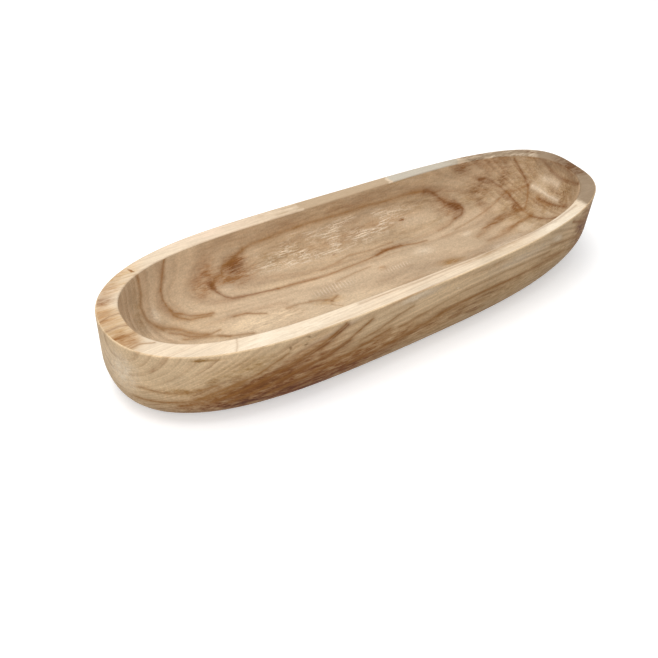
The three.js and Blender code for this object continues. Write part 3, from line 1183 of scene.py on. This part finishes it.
    # Torn fibres in the back of the hollow, and the chatter of the tool on its floor
    torn = streaks(length=13, width=1.2, detail=3, seed=3)
    torn = add(tree, MAP_RANGE, torn, 0.5, 0.61, 0, 0.9)
    scribble = streaks(length=9, width=4.5, detail=3, seed=23)
    scribble = add(tree, MATH, "SUBTRACT", scribble, 0.5)
    scribble = add(tree, MATH, "ABSOLUTE", scribble)
    scribble = add(tree, MAP_RANGE, scribble, 0, 0.022, 0.9, 0)
    torn = add(tree, MATH, "MAXIMUM", torn, scribble)
    clusters = streaks(length=24, width=10, detail=2, seed=14)
    clusters = add(tree, MAP_RANGE, clusters, 0.42, 0.58, 0, 1)
    torn = add(tree, MATH, "MULTIPLY", torn, clusters)
    colour = add(tree, GROUP, node_tree=cover, Colour=colour, Mark=linear(PALE),
                 Place=ovals_above, Middle=TORN_MIDDLE, Half_Size=TORN_HALF_SIZE, Edge=0.5,
                 Strength=torn, Side=in_hollow)
    ripple = add(tree, "ShaderNodeTexWave", mm, Scale=CHATTER_WAVE / CHATTER_PITCH,
                 Distortion=3.5, Detail=2, Detail_Scale=0.5, bands_direction="X")
    ripple = add(tree, MAP_RANGE, ripple.outputs["Fac"], 0.45, 1, 0, 0.4)
    for along, across, half_length, half_width in CHATTER:
        middle = lifted((along, across), in_hollow)
        colour = add(tree, GROUP, node_tree=cover, Colour=colour, Mark=linear(PALE),
                     Place=ovals_above, Middle=middle,
                     Half_Size=(half_length, half_width, half_length), Edge=0.8,
                     Strength=ripple, Side=in_hollow)

    # Pores and fibres. The real pores are about 0.3 mm wide, and are drawn coarser to show.
    pores = streaks(length=8, width=0.8, detail=2, seed=11)
    colour = tinted(colour, pores, 0.94, 1.05)
    grit = add(tree, NOISE, mm, Scale=1 / GRIT_WIDTH, Detail=4, Roughness=0.75)
    sanded = add(tree, MATH, "MULTIPLY", on_rim, 0.6)
    grit = add(tree, MIX, sanded, grit, 0.5)
    colour = tinted(colour, grit, 0.84, 1.16)

    height = add(tree, MATH, "ADD", pores, grit)
    bump = add(tree, "ShaderNodeBump", Strength=0.35, Distance=FUZZ, Height=height)
    rough = add(tree, MAP_RANGE, pores, 0.3, 0.7, 0.75, 0.62)
    surface = add(tree, "ShaderNodeBsdfPrincipled", Base_Color=colour, Roughness=rough,
                  Normal=bump, IOR=1.45, Specular_IOR_Level=0.3)
    add(tree, "ShaderNodeOutputMaterial", surface)
    return material


class TRAY_OT_carve(bpy.types.Operator):
    """Carve the tray: draw its fine mesh and put it in place of the plain solid"""

    bl_idname = "tray.carve"
    bl_label = "Carve Tray"

    def execute(self, context):
        tree = tray_tree(carved_wood())
        piece = plain_mesh("carved_tray", tree)
        if not piece.data.polygons:
            raise RuntimeError("the tray came out empty")
        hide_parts(NODE)
        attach(piece, BODY)
        return {"FINISHED"}


# Studio

FLOOR_SIZE = 3.0
FLOOR_LIFT = 0.22
WORLD_LIGHT = 0.6
SENSOR = 36.0
WHITE = "#ffffff"

# Where each soft lamp stands, and the size of its square. Both are aimed at the tray.
KEY_PLACE = (-0.2, 0.15, 1.1)
KEY_SIZE = 0.8
FILL_PLACE = (-1.0, -1.05, 0.7)
FILL_SIZE = 0.7
LAMPS_AIM = (0, 0, 0.04)


def seen_directly(tree):
    """1 for the rays that the picture is seen by, straight, off a gloss or through a glass."""
    rays = add(tree, "ShaderNodeLightPath").outputs
    seen = add(tree, MATH, "MAXIMUM", rays["Is Camera Ray"], rays["Is Glossy Ray"])
    return add(tree, MATH, "MAXIMUM", seen, rays["Is Transmission Ray"])


def pale_floor():
    """Plain pale floor, white to the camera, that keeps the tray's shadow and throws little
    light back up under the tray."""
    material = bpy.data.materials.new("pale_floor")
    tree = emptied(material)
    dim = add(tree, "ShaderNodeBsdfDiffuse", linear("#75695d"))
    bright = add(tree, "ShaderNodeBsdfDiffuse", linear(WHITE))
    glow = add(tree, "ShaderNodeEmission", linear(WHITE), FLOOR_LIFT)
    bright = add(tree, "ShaderNodeAddShader", bright, glow)
    surface = add(tree, "ShaderNodeMixShader", seen_directly(tree), dim, bright)
    add(tree, "ShaderNodeOutputMaterial", surface)
    return material


def white_world():
    """Even white daylight from all round, and a white background."""
    world = bpy.data.worlds.new("white_studio")
    bpy.context.scene.world = world
    tree = emptied(world)
    strength = add(tree, MAP_RANGE, seen_directly(tree), 0, 1, WORLD_LIGHT, 1)
    light = add(tree, "ShaderNodeBackground", linear(WHITE), strength)
    add(tree, "ShaderNodeOutputWorld", light)


def soft_lamp(name, place, size, power):
    """A square soft white lamp at a place, aimed at the tray."""
    lamp = bpy.data.lights.new(name, "AREA")
    lamp.size = size
    lamp.energy = power
    holder = bpy.data.objects.new(name, lamp)
    bpy.context.scene.collection.objects.link(holder)
    holder.location = place
    aim = Vector(LAMPS_AIM) - Vector(place)
    holder.rotation_euler = aim.to_track_quat("-Z", "Y").to_euler()


def photo_camera(studio):
    """Camera at the photograph's angle, with its small roll."""
    a, e, r = studio.azimuth, studio.elevation, studio.roll
    back = Vector((math.sin(a) * math.cos(e), -math.cos(a) * math.cos(e), math.sin(e)))
    right = Vector((math.cos(a), math.sin(a), 0))
    up = back.cross(right)
    rolled_right = right * math.cos(r) + up * math.sin(r)
    rolled_up = up * math.cos(r) - right * math.sin(r)
    camera = bpy.data.cameras.new("camera")
    camera.sensor_width = SENSOR
    camera.lens = studio.focal_length
    camera.clip_start = 0.01
    holder = bpy.data.objects.new("camera", camera)
    bpy.context.scene.collection.objects.link(holder)
    turn = Matrix((rolled_right, rolled_up, back)).transposed()
    holder.rotation_euler = turn.to_euler()
    holder.location = Vector(studio.target) + back * studio.distance
    bpy.context.scene.camera = holder


class TRAY_OT_studio(bpy.types.Operator):
    """Set up the pale floor, the soft lamps and the camera"""

    bl_idname = "tray.studio"
    bl_label = "Set Up Studio"

    def execute(self, context):
        studio = context.scene.tray_studio
        half = FLOOR_SIZE / 2
        mesh = bpy.data.meshes.new("studio_floor")
        corners = [(-half, -half, 0), (half, -half, 0), (half, half, 0), (-half, half, 0)]
        mesh.from_pydata(corners, [], [(0, 1, 2, 3)])
        floor = bpy.data.objects.new("studio_floor", mesh)
        floor.data.materials.append(pale_floor())
        context.scene.collection.objects.link(floor)
        white_world()
        soft_lamp("key", KEY_PLACE, KEY_SIZE, studio.key_power)
        soft_lamp("fill", FILL_PLACE, FILL_SIZE, studio.fill_power)
        photo_camera(studio)
        context.scene.view_settings.view_transform = "Standard"
        return {"FINISHED"}


class TRAY_PT_panel(bpy.types.Panel):
    """Buttons and sizes of the carved tray"""

    bl_idname = "TRAY_PT_panel"
    bl_label = "Carved Tray"
    bl_space_type = "VIEW_3D"
    bl_region_type = "UI"
    bl_category = "Tray"

    def draw(self, context):
        for operator, settings in (
            (TRAY_OT_carve, (context.scene.tray_shape, context.scene.tray_wood)),
            (TRAY_OT_studio, (context.scene.tray_studio,)),
        ):
            self.layout.operator(operator.bl_idname)
            column = self.layout.column(align=True)
            for group in settings:
                for name in group.__annotations__:
                    column.prop(group, name)


CLASSES = (TrayShape, TrayWood, TrayStudio, TRAY_OT_carve, TRAY_OT_studio, TRAY_PT_panel)


def register():
    for cls in CLASSES:
        bpy.utils.register_class(cls)
    bpy.types.Scene.tray_shape = bpy.props.PointerProperty(type=TrayShape)
    bpy.types.Scene.tray_wood = bpy.props.PointerProperty(type=TrayWood)
    bpy.types.Scene.tray_studio = bpy.props.PointerProperty(type=TrayStudio)


def unregister():
    del bpy.types.Scene.tray_studio
    del bpy.types.Scene.tray_wood
    del bpy.types.Scene.tray_shape
    for cls in reversed(CLASSES):
        bpy.utils.unregister_class(cls)


def main():
    register()
    bpy.ops.tray.carve()
    bpy.ops.tray.studio()


if __name__ == "__main__":
    main()
